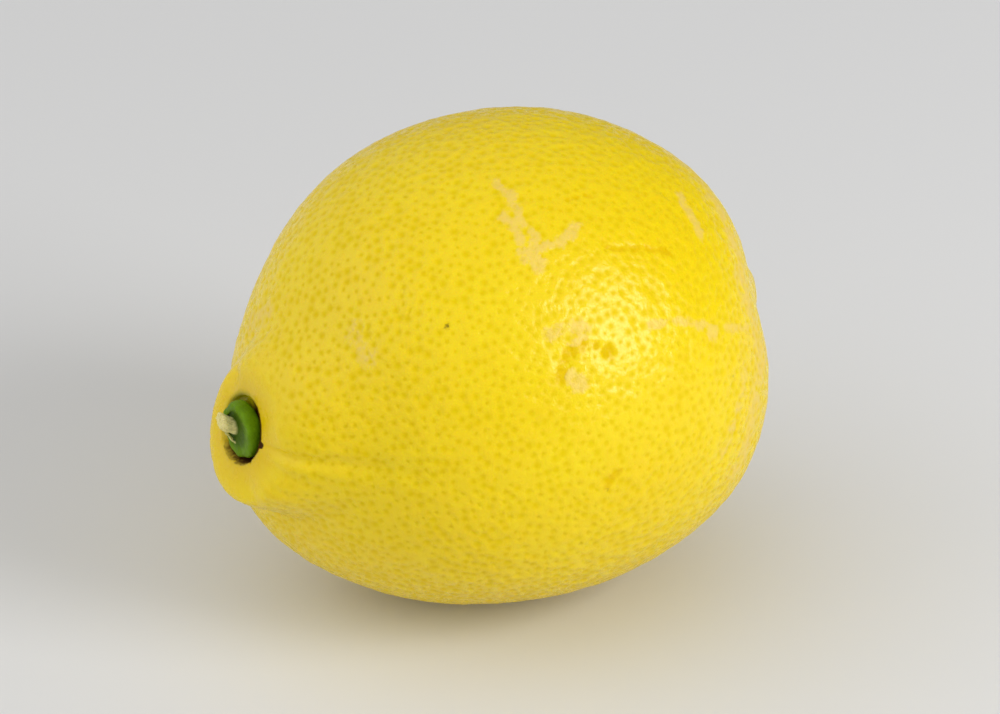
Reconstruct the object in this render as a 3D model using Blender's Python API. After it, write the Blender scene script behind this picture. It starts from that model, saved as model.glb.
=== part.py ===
"""A lemon as picked, lying on its side.

Metres, +Z up. The fruit's axis runs along X, with the stem end at -X and the blossom end at +X.
The origin is the middle of the small flat spot that the fruit rests on, straight under its weight.

There are two pieces: the fruit, which is one solid from collar to nipple, and the stem button, the
green calyx with the stub of the cut stem grown in it, which sits in the bowl of the collar.
"""

import math
import random
from dataclasses import dataclass

import bmesh
import bpy
from mathutils import Vector

MM = 0.001
TURN = 2.0 * math.pi

# Body: an ellipsoid, a little fuller towards its ends, with a few broad swellings.
HALF_LENGTH = 33.6 * MM
HALF_WIDTH = 31.0 * MM
END_FULLNESS = 0.08

# Collar: the raised lip round the stem, higher on its lower side. It ends steeply on its lower far
# side and runs out gently into the body on the other. Angles round the axis are from +Y towards +Z.
COLLAR_CREST_RADIUS = 8.0 * MM
COLLAR_FLANK = 3.1 * MM
COLLAR_FLANK_GROWTH = 8.5 * MM
COLLAR_STEEP_ANGLE = math.radians(-30.0)
COLLAR_HEIGHT = 3.4 * MM
COLLAR_HEIGHT_SKEW = 1.0 * MM
COLLAR_HIGH_ANGLE = math.radians(-100.0)
COLLAR_DISH = 0.16

# Bowl: the round recess in the collar that holds the button, a little off the fruit's axis.
BOWL_FLOOR_RADIUS = 3.9 * MM
BOWL_LIP_RADIUS = 4.1 * MM
BOWL_FLOOR_RISE = 1.6 * MM
BOWL_OFFSET = Vector((0.0, 1.0, 0.15)) * MM

# Nipple: the low broad tip of the blossom end, with a shallow crease on one side of its foot and
# the scar of the fallen style at its top.
NIPPLE_HEIGHT = 3.9 * MM
NIPPLE_SPREAD = 6.4 * MM
CREASE_RADIUS = 9.5 * MM
CREASE_WIDTH = 2.4 * MM
CREASE_DEPTH = 0.6 * MM
CREASE_ANGLE = math.radians(70.0)
SCAR_RADIUS = 1.4 * MM
SCAR_DEPTH = 0.6 * MM

# Rest: the middle of the ellipsoid stands this far from the resting spot, a little lower than its
# half width, so that the skin that would reach below the surface is pressed flat.
BODY_CENTRE = Vector((0.2, 0.1, 30.6)) * MM
FLAT_SNAP = 0.06 * MM

# Skin: triangle size, and shallow pits, larger than the real oil glands.
SKIN_SPACING = 1.9 * MM
STEM_SPACING = 0.9 * MM
LEAST_SIDES = 8
SKIN_JITTER = 0.2
PIT_DEPTH = 0.16 * MM
PIT_FREE_HEIGHT = 0.6 * MM
SEED = 7

# Button.
BUTTON_GAP = 0.3 * MM
BUTTON_RADIUS = 3.65 * MM
BUTTON_THICKNESS = 2.0 * MM
BUTTON_LOBES = 5
BUTTON_LOBE_DEPTH = 0.1 * MM
BUTTON_SIDES = 30
BUTTON_HOLLOW = 1.65 * MM
BUTTON_HOLLOW_RIM = 2.75 * MM
STUB_RADIUS = 1.1 * MM
STUB_FOOT_RADIUS = 1.3 * MM
STUB_HEIGHT = 1.8 * MM
STUB_RAGGED = 0.12 * MM
STUB_LEAN = Vector((0.0, 0.15, 0.6))
STUB_OFFSET = Vector((0.0, 1.2, 0.05)) * MM

RIND_COLOUR = (0.88, 0.64, 0.02)
CALYX_COLOUR = (0.11, 0.21, 0.02)


@dataclass(frozen=True)
class Swelling:
    """A broad rise, or hollow where height is negative, of the body along one direction."""

    direction: Vector
    height: float
    spread: float


@dataclass(frozen=True)
class Furrow:
    """A groove that runs from the bowl's lip out over the collar, at one angle round the axis."""

    angle: float
    depth: float
    reach: float
    width: float


@dataclass(frozen=True)
class Lobe:
    """A rise of the collar's crest at one angle round the axis."""

    angle: float
    height: float
    width: float


LOBES = (
    Lobe(math.radians(-86.0), 0.22 * MM, math.radians(32.0)),
    Lobe(math.radians(140.0), 0.35 * MM, math.radians(26.0)),
    Lobe(math.radians(-140.0), 0.35 * MM, math.radians(26.0)),
)

SWELLINGS = (
    Swelling(Vector((-0.86, 0.25, -0.44)), 3.0 * MM, math.radians(24.0)),
    Swelling(Vector((-0.70, 0.64, 0.32)), -1.3 * MM, math.radians(25.0)),
    Swelling(Vector((0.88, -0.42, 0.20)), -0.9 * MM, math.radians(12.0)),
    Swelling(Vector((0.75, -0.25, 0.61)), 0.6 * MM, math.radians(16.0)),
    Swelling(Vector((0.66, -0.65, -0.38)), 1.2 * MM, math.radians(24.0)),
    Swelling(Vector((-0.26, -0.41, -0.87)), -0.6 * MM, math.radians(20.0)),
)

FURROWS = (
    Furrow(math.radians(-172.0), 0.7 * MM, 16.0 * MM, math.radians(16.0)),
    Furrow(math.radians(43.0), 0.9 * MM, 14.0 * MM, math.radians(11.0)),
    Furrow(math.radians(-118.0), 0.35 * MM, 12.0 * MM, math.radians(12.0)),
    Furrow(math.radians(128.0), 0.35 * MM, 12.0 * MM, math.radians(18.0)),
)

# Rings of the mesh near the stem, by their distance from the axis.
STEM_RING_RADII = [r * MM for r in (1.4, 2.7, 3.9, 4.0, 4.1, 4.5, 5.2, 6.0, 6.9, 7.8, 8.8, 9.9, 11.1)]
# Rings of the mesh at the blossom tip.
TIP_RING_RADII = [r * MM for r in (0.7, 1.3, 1.9, 2.7)]


def smooth_step(value, low, high):
    """0 below low, 1 above high, and a smooth rise between; low may be above high."""
    t = min(1.0, max(0.0, (value - low) / (high - low)))
    return t * t * (3.0 - 2.0 * t)


def collar_height(radius, angle):
    """How far the collar stands out of the body."""
    flank = COLLAR_FLANK + COLLAR_FLANK_GROWTH * (0.5 - 0.5 * math.cos(angle - COLLAR_STEEP_ANGLE)) ** 3
    height = COLLAR_HEIGHT + COLLAR_HEIGHT_SKEW * math.cos(angle - COLLAR_HIGH_ANGLE)
    inward = smooth_step(radius, COLLAR_CREST_RADIUS, BOWL_LIP_RADIUS)
    for lobe in LOBES:
        turn = math.remainder(angle - lobe.angle, TURN)
        height += lobe.height * math.exp(-((turn / lobe.width) ** 2)) * (1.0 - inward)
    height *= 1.0 - COLLAR_DISH * inward
    return height * smooth_step(radius, COLLAR_CREST_RADIUS + flank, COLLAR_CREST_RADIUS)


def furrow_depth(radius, angle):
    """How far the grooves cut into the collar and the shoulder behind it."""
    depth = 0.0
    for furrow in FURROWS:
        turn = math.remainder(angle - furrow.angle, TURN)
        across = math.exp(-((turn / furrow.width) ** 2))
        along = smooth_step(radius, BOWL_FLOOR_RADIUS, COLLAR_CREST_RADIUS)
        along *= smooth_step(radius, furrow.reach, 0.5 * furrow.reach)
        depth += furrow.depth * across * along
    return depth


def nipple_height(radius, angle):
    """How far the nipple stands out of the body."""
    height = NIPPLE_HEIGHT * math.exp(-((radius / NIPPLE_SPREAD) ** 2))
    crease = math.exp(-(((radius - CREASE_RADIUS) / CREASE_WIDTH) ** 2))
    height -= CREASE_DEPTH * crease * 0.5 * (1.0 + math.cos(angle - CREASE_ANGLE))
    return height - SCAR_DEPTH * smooth_step(radius, SCAR_RADIUS, 0.4 * SCAR_RADIUS)


def skin_point(polar, angle):
    """The point of the skin at a polar angle from the stem, and an angle round the axis from +Y."""
    fullness = 1.0 + END_FULLNESS * math.cos(polar) ** 2
    radius = HALF_WIDTH * math.sin(polar) * fullness
    point = Vector((-HALF_LENGTH * math.cos(polar), radius * math.cos(angle), radius * math.sin(angle)))
    outward = point.normalized()
    for swelling in SWELLINGS:
        bend = outward.angle(swelling.direction) / swelling.spread
        point += outward * swelling.height * math.exp(-bend * bend)
    if polar < math.pi / 2.0:
        point.x -= collar_height(radius, angle) - furrow_depth(radius, angle)
        bowl = Vector((-HALF_LENGTH - BOWL_FLOOR_RISE, radius * math.cos(angle), radius * math.sin(angle)))
        point = point.lerp(bowl, smooth_step(radius, BOWL_LIP_RADIUS, BOWL_FLOOR_RADIUS))
        point += BOWL_OFFSET * smooth_step(radius, COLLAR_CREST_RADIUS, BOWL_LIP_RADIUS)
    else:
        point.x += nipple_height(radius, angle)
    return point


def ring_angles():
    """Polar angles of the mesh's rings, from the stem to the blossom end, and which are fixed."""
    full_width = HALF_WIDTH * (1.0 + END_FULLNESS)
    start = [math.asin(radius / full_width) for radius in STEM_RING_RADII]
    end = [math.pi - math.asin(radius / full_width) for radius in reversed(TIP_RING_RADII)]
    span = end[0] - start[-1]
    count = round(span * HALF_LENGTH / (SKIN_SPACING * 0.87))
    middle = [start[-1] + span * step / count for step in range(1, count)]
    fixed = [True] * len(start) + [False] * len(middle) + [True] * len(end)
    return start + middle + end, fixed


def ring_count(polar):
    """How many vertices a ring takes: more of them round the bowl than on the rest of the skin."""
    radius = HALF_WIDTH * math.sin(polar)
    gap = SKIN_SPACING
    if polar < math.pi / 2.0:
        widening = smooth_step(radius, BOWL_LIP_RADIUS, 2.0 * COLLAR_CREST_RADIUS)
        gap = STEM_SPACING + (SKIN_SPACING - STEM_SPACING) * widening
    return max(LEAST_SIDES, round(TURN * radius / gap))


def stitch(mesh, low, high):
    """Fill the band between two rings with triangles, always across the shorter diagonal."""
    i = 0
    j = 0
    while i < len(low) or j < len(high):
        a = low[i % len(low)]
        b = high[j % len(high)]
        next_a = low[(i + 1) % len(low)]
        next_b = high[(j + 1) % len(high)]
        step_low = (next_a.co - b.co).length < (next_b.co - a.co).length
        if j == len(high) or (i < len(low) and step_low):
            mesh.faces.new((a, b, next_a))
            i += 1
        else:
            mesh.faces.new((a, b, next_b))
            j += 1


def cap(mesh, ring, pole):
    """Close a ring with a fan round its pole."""
    for index, vertex in enumerate(ring):
        mesh.faces.new((vertex, ring[(index + 1) % len(ring)], pole))


def build_skin(mesh, rng):
    """Rings of vertices on the skin, stitched from the bowl to the blossom tip.

    Returns the vertices that pits may sink.
    """
    polars, fixed = ring_angles()
    rings = []
    for row, polar in enumerate(polars):
        sway = 0.0 if fixed[row] else SKIN_JITTER
        polar_sway = sway * SKIN_SPACING / HALF_LENGTH
        count = ring_count(polar)
        ring = []
        for index in range(count):
            angle = TURN * (index + 0.5 * (row % 2) + rng.uniform(-sway, sway)) / count
            ring.append(mesh.verts.new(skin_point(polar + rng.uniform(-polar_sway, polar_sway), angle)))
        rings.append(ring)
    for low, high in zip(rings, rings[1:]):
        stitch(mesh, low, high)
    cap(mesh, rings[0], mesh.verts.new(skin_point(0.0, 0.0)))
    cap(mesh, rings[-1], mesh.verts.new(skin_point(math.pi, 0.0)))
    return [vertex for ring, still in zip(rings, fixed) if not still for vertex in ring]


def flatten_rest(mesh):
    """Press the lowest skin flat, where the fruit rests."""
    for vertex in mesh.verts:
        if vertex.co.z < FLAT_SNAP:
            vertex.co.z = 0.0


def sink_pits(mesh, skin, rng):
    """Sink scattered vertices of the skin that are not neighbours, as its pores."""
    mesh.normal_update()
    order = [vertex for vertex in skin if vertex.co.z > PIT_FREE_HEIGHT]
    rng.shuffle(order)
    sunk = set()
    moves = []
    for vertex in order:
        if any(edge.other_vert(vertex) in sunk for edge in vertex.link_edges):
            continue
        sunk.add(vertex)
        moves.append((vertex, vertex.normal * PIT_DEPTH * rng.uniform(0.7, 1.2)))
    for vertex, move in moves:
        vertex.co -= move


def finish_object(name, mesh, material):
    """Turn a bmesh into a smooth object with its material."""
    bmesh.ops.recalc_face_normals(mesh, faces=mesh.faces)
    data = bpy.data.meshes.new(name)
    mesh.to_mesh(data)
    mesh.free()
    data.materials.append(material)
    data.shade_smooth()
    item = bpy.data.objects.new(name, data)
    bpy.context.scene.collection.objects.link(item)
    return item


def make_material(name, colour, roughness):
    """A plain Principled material."""
    material = bpy.data.materials.new(name)
    material.use_nodes = True
    shader = material.node_tree.nodes["Principled BSDF"]
    shader.inputs["Base Color"].default_value = (*colour, 1.0)
    shader.inputs["Roughness"].default_value = roughness
    shader.inputs["Metallic"].default_value = 0.0
    material.diffuse_color = (*colour, 1.0)
    return material


def build_fruit():
    """The whole fruit, from the collar round the stem to the nipple of the blossom end."""
    rng = random.Random(SEED)
    mesh = bmesh.new()
    skin = build_skin(mesh, rng)
    bmesh.ops.recalc_face_normals(mesh, faces=mesh.faces)
    bmesh.ops.translate(mesh, verts=mesh.verts, vec=BODY_CENTRE)
    flatten_rest(mesh)
    sink_pits(mesh, skin, rng)
    return finish_object("fruit", mesh, make_material("rind", RIND_COLOUR, 0.38))


def button_point(radius, height, angle, rng):
    """A point of the button at a distance from its axis, a height over its seat, and an angle."""
    ragged = STUB_RAGGED * smooth_step(height, BUTTON_THICKNESS, 1.4 * BUTTON_THICKNESS)
    lobes = BUTTON_LOBE_DEPTH * smooth_step(radius, STUB_RADIUS, BUTTON_RADIUS)
    reach = radius + lobes * math.cos(BUTTON_LOBES * angle) + rng.uniform(-ragged, ragged)
    rise = height + rng.uniform(-ragged, ragged)
    point = Vector((-rise, reach * math.cos(angle), reach * math.sin(angle)))
    lean = STUB_OFFSET + STUB_LEAN * max(0.0, height - BUTTON_HOLLOW)
    return point + lean * smooth_step(radius, BUTTON_HOLLOW_RIM, STUB_FOOT_RADIUS)


def build_button():
    """The green calyx with its rounded, lobed rim, and the stub of the cut stem in its hollow."""
    rng = random.Random(SEED)
    seat = BODY_CENTRE.x - HALF_LENGTH - BOWL_FLOOR_RISE - BUTTON_GAP
    mesh = bmesh.new()
    profile = (
        (0.86 * BUTTON_RADIUS, 0.0),
        (0.97 * BUTTON_RADIUS, 0.2 * BUTTON_THICKNESS),
        (BUTTON_RADIUS, 0.5 * BUTTON_THICKNESS),
        (0.98 * BUTTON_RADIUS, 0.82 * BUTTON_THICKNESS),
        (0.91 * BUTTON_RADIUS, 0.97 * BUTTON_THICKNESS),
        (BUTTON_HOLLOW_RIM, BUTTON_THICKNESS),
        (STUB_FOOT_RADIUS + 0.1 * MM, BUTTON_HOLLOW),
        (1.05 * STUB_RADIUS, BUTTON_HOLLOW + 0.1 * MM),
        (STUB_RADIUS, BUTTON_HOLLOW + 0.4 * STUB_HEIGHT),
        (1.1 * STUB_RADIUS, BUTTON_HOLLOW + 0.8 * STUB_HEIGHT),
        (0.85 * STUB_RADIUS, BUTTON_HOLLOW + STUB_HEIGHT),
        (0.4 * STUB_RADIUS, BUTTON_HOLLOW + 0.97 * STUB_HEIGHT),
    )
    rings = []
    for row, (radius, height) in enumerate(profile):
        sides = BUTTON_SIDES if radius > STUB_FOOT_RADIUS else BUTTON_SIDES // 2
        if row == len(profile) - 1:
            sides = BUTTON_SIDES // 4
        angles = [TURN * (index + 0.5 * (row % 2)) / sides for index in range(sides)]
        rings.append([mesh.verts.new(button_point(radius, height, angle, rng)) for angle in angles])
    for low, high in zip(rings, rings[1:]):
        stitch(mesh, low, high)
    cap(mesh, rings[0], mesh.verts.new((0.0, 0.0, 0.0)))
    top = BUTTON_HOLLOW + 0.95 * STUB_HEIGHT
    cap(mesh, rings[-1], mesh.verts.new(button_point(0.0, top, 0.0, rng)))
    place = Vector((seat, BODY_CENTRE.y, BODY_CENTRE.z)) + BOWL_OFFSET
    bmesh.ops.translate(mesh, verts=mesh.verts, vec=place)
    return finish_object("stem_button", mesh, make_material("calyx", CALYX_COLOUR, 0.5))


def main():
    """Build the lemon in an emptied scene."""
    for item in list(bpy.data.objects):
        bpy.data.objects.remove(item)
    build_fruit()
    build_button()


if __name__ == "__main__":
    main()
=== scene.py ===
"""A ripe lemon as picked, lying on its side: its skin and stem button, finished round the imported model.

Metres, +Z up. The fruit's axis runs along X, with the stem at -X. Angles round the axis are measured
from +Y towards +Z, and polar angles from the stem end.
"""

from __future__ import annotations

import logging
import math
from dataclasses import dataclass, field
from enum import Enum
from typing import Sequence

import bpy
import numpy as np
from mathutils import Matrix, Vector, noise


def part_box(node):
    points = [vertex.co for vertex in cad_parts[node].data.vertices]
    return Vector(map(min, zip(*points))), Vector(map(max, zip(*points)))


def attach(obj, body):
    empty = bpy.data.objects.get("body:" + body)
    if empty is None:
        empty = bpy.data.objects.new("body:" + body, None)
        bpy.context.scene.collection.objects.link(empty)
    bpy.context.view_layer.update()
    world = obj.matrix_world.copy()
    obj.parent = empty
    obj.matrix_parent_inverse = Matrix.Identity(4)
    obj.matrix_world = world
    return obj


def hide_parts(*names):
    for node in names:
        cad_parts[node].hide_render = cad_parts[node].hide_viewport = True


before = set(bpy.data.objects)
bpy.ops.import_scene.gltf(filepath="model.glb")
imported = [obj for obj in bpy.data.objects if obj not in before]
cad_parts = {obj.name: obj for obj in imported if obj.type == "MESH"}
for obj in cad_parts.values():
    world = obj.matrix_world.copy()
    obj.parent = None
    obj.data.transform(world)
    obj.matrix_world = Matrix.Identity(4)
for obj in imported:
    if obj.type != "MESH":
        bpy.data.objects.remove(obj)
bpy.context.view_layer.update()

MM = 0.001
NOISE_SEED = 5
FOLD_SEED, SHRED_SEED, FIBRE_SEED = 3.0, 40.0, 70.0
TURN = 2.0 * math.pi
ROOT = "root"

log = logging.getLogger("lemon")

Colour = tuple[float, float, float]
Triple = tuple[float, float, float]
Socket = bpy.types.NodeSocket


class Node(Enum):
    """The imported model's nodes."""

    FRUIT = "fruit"
    BUTTON = "stem_button"


class Slot(Enum):
    """The pieces' material slots."""

    RIND = "rind"
    CALYX = "calyx"


class Trait(Enum):
    """Values kept on a mesh's points, which its material reads."""

    PORED = "pored"
    PORE = "pore"
    RUB_AND_SHEEN = "rub"
    CREASE = "crease"
    SPECK = "speck"
    HUSK = "husk"
    LIP = "lip"
    STUB = "stub"
    HOLLOW_SHADE = "hollow"


def smooth_step(value: np.ndarray, low: float | np.ndarray, high: float | np.ndarray) -> np.ndarray:
    """Rise smoothly from 0 at low to 1 at high.

    Args:
        value: What is compared with the two limits.
        low: Where the result leaves 0. It may be above high.
        high: Where the result reaches 1.

    Returns:
        The result for each value.
    """
    t = np.clip((value - low) / (high - low), 0.0, 1.0)
    return t * t * (3.0 - 2.0 * t)


@dataclass(frozen=True)
class Swelling:
    """A broad rise of the body along one direction, or a hollow where height is negative."""

    direction: Triple
    height: float
    spread: float


@dataclass(frozen=True)
class Furrow:
    """A groove, or a ridge where depth is negative, from the bowl's lip out over the collar at one angle."""

    angle: float
    depth: float
    reach: float
    width: float


@dataclass(frozen=True)
class Lobe:
    """A rise of the collar's crest at one angle round the axis."""

    angle: float
    height: float
    width: float


@dataclass(frozen=True)
class LemonForm:
    """The fruit's outer form: an ellipsoid with swellings, a collar, a bowl and a nipple."""

    half_length: float = 33.6 * MM
    half_width: float = 31.0 * MM
    end_fullness: float = 0.08
    centre: Triple = (0.2 * MM, 0.1 * MM, 30.6 * MM)
    crest_radius: float = 8.0 * MM
    flank: float = 3.1 * MM
    flank_growth: float = 8.5 * MM
    steep_angle: float = math.radians(-30.0)
    collar_height: float = 3.4 * MM
    collar_skew: float = 1.0 * MM
    high_angle: float = math.radians(-100.0)
    dish: float = 0.16
    bowl_floor_radius: float = 3.9 * MM
    bowl_lip_radius: float = 4.1 * MM
    bowl_floor_rise: float = 1.6 * MM
    bowl_offset: Triple = (0.0, 1.0 * MM, 0.15 * MM)
    nipple_height: float = 3.9 * MM
    nipple_spread: float = 6.4 * MM
    crease_radius: float = 9.5 * MM
    crease_width: float = 2.4 * MM
    crease_depth: float = 0.6 * MM
    crease_angle: float = math.radians(70.0)
    scar_radius: float = 1.4 * MM
    scar_depth: float = 0.6 * MM
    lobes: tuple[Lobe, ...] = (
        Lobe(math.radians(-86.0), 0.22 * MM, math.radians(32.0)),
        Lobe(math.radians(140.0), 0.35 * MM, math.radians(26.0)),
        Lobe(math.radians(-140.0), 0.35 * MM, math.radians(26.0)),
    )
    swellings: tuple[Swelling, ...] = (
        Swelling((-0.86, 0.25, -0.44), 3.0 * MM, math.radians(24.0)),
        Swelling((-0.70, 0.64, 0.32), -1.3 * MM, math.radians(25.0)),
        Swelling((0.88, -0.42, 0.20), -0.9 * MM, math.radians(12.0)),
        Swelling((0.75, -0.25, 0.61), 0.6 * MM, math.radians(16.0)),
        Swelling((0.66, -0.65, -0.38), 1.2 * MM, math.radians(24.0)),
        Swelling((-0.26, -0.41, -0.87), -0.6 * MM, math.radians(20.0)),
    )
    furrows: tuple[Furrow, ...] = (
        Furrow(math.radians(-172.0), 0.7 * MM, 16.0 * MM, math.radians(16.0)),
        Furrow(math.radians(43.0), 0.9 * MM, 14.0 * MM, math.radians(11.0)),
        Furrow(math.radians(-118.0), 0.35 * MM, 12.0 * MM, math.radians(12.0)),
        Furrow(math.radians(128.0), 0.35 * MM, 12.0 * MM, math.radians(18.0)),
        Furrow(math.radians(176.0), 0.60 * MM, 26.0 * MM, math.radians(4.0)),
        Furrow(math.radians(-175.0), -0.40 * MM, 18.0 * MM, math.radians(5.0)),
        Furrow(math.radians(-150.0), 0.22 * MM, 20.0 * MM, math.radians(4.0)),
        Furrow(math.radians(165.0), 0.15 * MM, 20.0 * MM, math.radians(4.0)),
    )

    def radius(self, polar: np.ndarray) -> np.ndarray:
        """The plain body's distance from the axis at each polar angle."""
        return self.half_width * np.sin(polar) * (1.0 + self.end_fullness * np.cos(polar) ** 2)

    def collar(self, radius: np.ndarray, angle: np.ndarray) -> np.ndarray:
        """How far the collar stands out of the body, less its furrows.

        Args:
            radius: Distances from the axis.
            angle: Angles round the axis.

        Returns:
            The height at each point, along -X.
        """
        flank = self.flank + self.flank_growth * (0.5 - 0.5 * np.cos(angle - self.steep_angle)) ** 3
        height = self.collar_height + self.collar_skew * np.cos(angle - self.high_angle)
        inward = smooth_step(radius, self.crest_radius, self.bowl_lip_radius)
        for lobe in self.lobes:
            turn = np.angle(np.exp(1j * (angle - lobe.angle)))
            height += lobe.height * np.exp(-((turn / lobe.width) ** 2)) * (1.0 - inward)
        height *= 1.0 - self.dish * inward
        height *= smooth_step(radius, self.crest_radius + flank, self.crest_radius)
        for furrow in self.furrows:
            turn = np.angle(np.exp(1j * (angle - furrow.angle)))
            along = smooth_step(radius, self.bowl_floor_radius, self.crest_radius)
            along *= smooth_step(radius, furrow.reach, 0.5 * furrow.reach)
            height -= furrow.depth * np.exp(-((turn / furrow.width) ** 2)) * along
        return height

    def nipple(self, radius: np.ndarray, angle: np.ndarray) -> np.ndarray:
        """How far the nipple stands out of the body.

        Args:
            radius: Distances from the axis.
            angle: Angles round the axis.

        Returns:
            The height at each point, along +X.
        """
        height = self.nipple_height * np.exp(-((radius / self.nipple_spread) ** 2))
        crease = np.exp(-(((radius - self.crease_radius) / self.crease_width) ** 2))
        height -= self.crease_depth * crease * 0.5 * (1.0 + np.cos(angle - self.crease_angle))
        return height - self.scar_depth * smooth_step(radius, self.scar_radius, 0.4 * self.scar_radius)

    def skin(self, polar: np.ndarray, angle: np.ndarray) -> np.ndarray:
        """Points of the skin, where they lie in the model.

        Args:
            polar: Polar angles from the stem end.
            angle: Angles round the axis.

        Returns:
            One row of three coordinates for each pair of angles.
        """
        radius = self.radius(polar)
        across = np.stack([np.zeros_like(angle), np.cos(angle), np.sin(angle)], axis=-1)
        points = radius[:, None] * across
        points[:, 0] = -self.half_length * np.cos(polar)
        outward = points / np.linalg.norm(points, axis=1)[:, None]
        for swelling in self.swellings:
            direction = np.array(swelling.direction) / np.linalg.norm(swelling.direction)
            bend = np.arccos(np.clip(outward @ direction, -1.0, 1.0)) / swelling.spread
            points += outward * (swelling.height * np.exp(-bend * bend))[:, None]
        stem_half = polar < math.pi / 2.0
        points[:, 0] -= np.where(stem_half, self.collar(radius, angle), 0.0)
        points[:, 0] += np.where(stem_half, 0.0, self.nipple(radius, angle))
        bowl = radius[:, None] * across
        bowl[:, 0] = -self.half_length - self.bowl_floor_rise
        inside = np.where(stem_half, smooth_step(radius, self.bowl_lip_radius, self.bowl_floor_radius), 0.0)
        points += (bowl - points) * inside[:, None]
        shift = np.where(stem_half, smooth_step(radius, self.crest_radius, self.bowl_lip_radius), 0.0)
        return points + shift[:, None] * np.array(self.bowl_offset) + np.array(self.centre)


@dataclass(frozen=True)
class SkinMark:
    """A blemish that runs over the skin from one place and bends steadily.

    It starts at an angle round the axis in degrees and a distance along X. A heading of 0 degrees is
    towards the blossom end and 90 is round the fruit; bend is how far the mark turns on its way.
    """

    angle: float
    along: float
    heading: float = 0.0
    length: float = 0.3 * MM
    bend: float = 0.0
    reach: float = 0.5 * MM
    rub: float = 0.0
    crease: float = 0.0
    speck: float = 0.0
    waver: float = 0.35 * MM


class Wiring:
    """Adds nodes to one tree and joins them."""

    MEASURES = ("DISTANCE", "LENGTH", "DOT_PRODUCT")

    def __init__(self, tree: bpy.types.NodeTree) -> None:
        """Keep the tree."""
        self.tree = tree

    def node(
        self, kind: str, feeds: dict[str | int, object] | None = None, **settings: object
    ) -> bpy.types.Node:
        """Add a node.

        Args:
            kind: The node's type.
            feeds: Sockets to join or values to set, by the name or number of the node's input.
            settings: The node's own options.

        Returns:
            The new node.
        """
        made = self.tree.nodes.new(kind)
        for key, value in settings.items():
            setattr(made, key, value)
        for key, value in (feeds or {}).items():
            if isinstance(value, Socket):
                self.tree.links.new(value, self.entry(made, key))
            else:
                self.entry(made, key).default_value = value
        return made

    @staticmethod
    def entry(node: bpy.types.Node, key: str | int) -> Socket:
        """The input of a node by number, or the one of its inputs with that name that is in use."""
        if isinstance(key, int):
            return node.inputs[key]
        return next(socket for socket in node.inputs if socket.name == key and socket.enabled)

    def math(self, operation: str, first: object, second: object = 0.0, clamp: bool = False) -> Socket:
        """Work out one sum from sockets or numbers, kept between 0 and 1 where clamp is set."""
        feeds = {0: first, 1: second}
        return self.node("ShaderNodeMath", feeds, operation=operation, use_clamp=clamp).outputs[0]

    def vector(
        self, operation: str, first: object, second: object | None = None, scale: object = 1.0
    ) -> Socket:
        """Work out one step with vectors.

        Args:
            operation: What is done.
            first: The first vector.
            second: The other vector, where the operation takes two.
            scale: How much longer the vector gets, where it is scaled.

        Returns:
            The new vector, or the number that the operation measures.
        """
        feeds = {0: first} if second is None else {0: first, 1: second}
        if operation == "SCALE":
            feeds["Scale"] = scale
        made = self.node("ShaderNodeVectorMath", feeds, operation=operation)
        return made.outputs["Value" if operation in self.MEASURES else "Vector"]

    def sum(self, *terms: object) -> Socket:
        """Add several sockets or numbers."""
        total = terms[0]
        for term in terms[1:]:
            total = self.math("ADD", total, term)
        return total

    def weigh(self, *parts: tuple[Socket, float]) -> Socket:
        """Add several sockets, each by its weight."""
        return self.sum(*(self.times(part, weight) for part, weight in parts))

    def times(self, *factors: object) -> Socket:
        """Multiply several sockets or numbers."""
        product = factors[0]
        for factor in factors[1:]:
            product = self.math("MULTIPLY", product, factor)
        return product

    def blend(self, factor: object, low: object, high: object) -> Socket:
        """Mix two colours, given as sockets or as plain colours."""
        feeds = {0: factor, 6: self.opaque(low), 7: self.opaque(high)}
        return self.node("ShaderNodeMix", feeds, data_type="RGBA").outputs[2]

    def ramp(self, value: Socket, low: object, high: object, start: float = 0.0, end: float = 1.0) -> Socket:
        """Turn a value between low and high smoothly into one between start and end."""
        feeds = {0: value, 1: low, 2: high, 3: start, 4: end}
        return self.node("ShaderNodeMapRange", feeds, interpolation_type="SMOOTHSTEP").outputs[0]

    def trait(self, trait: Trait) -> Socket:
        """Read a trait of the mesh's points in a shader."""
        return self.node("ShaderNodeAttribute", attribute_name=trait.value).outputs["Fac"]

    @staticmethod
    def opaque(colour: object) -> object:
        """Give a plain colour its alpha, and leave a socket as it is."""
        return (*colour, 1.0) if isinstance(colour, tuple) and len(colour) == 3 else colour


def new_group(name: str, inputs: Sequence[tuple[str, str]], outputs: Sequence[tuple[str, str]]) -> Wiring:
    """Start a shader node group.

    Args:
        name: The group's name.
        inputs: The name and socket type of each input.
        outputs: The name and socket type of each output.

    Returns:
        The wiring of the new group.
    """
    tree = bpy.data.node_groups.new(name, "ShaderNodeTree")
    for label, kind in inputs:
        tree.interface.new_socket(name=label, in_out="INPUT", socket_type=kind)
    for label, kind in outputs:
        tree.interface.new_socket(name=label, in_out="OUTPUT", socket_type=kind)
    return Wiring(tree)


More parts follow.
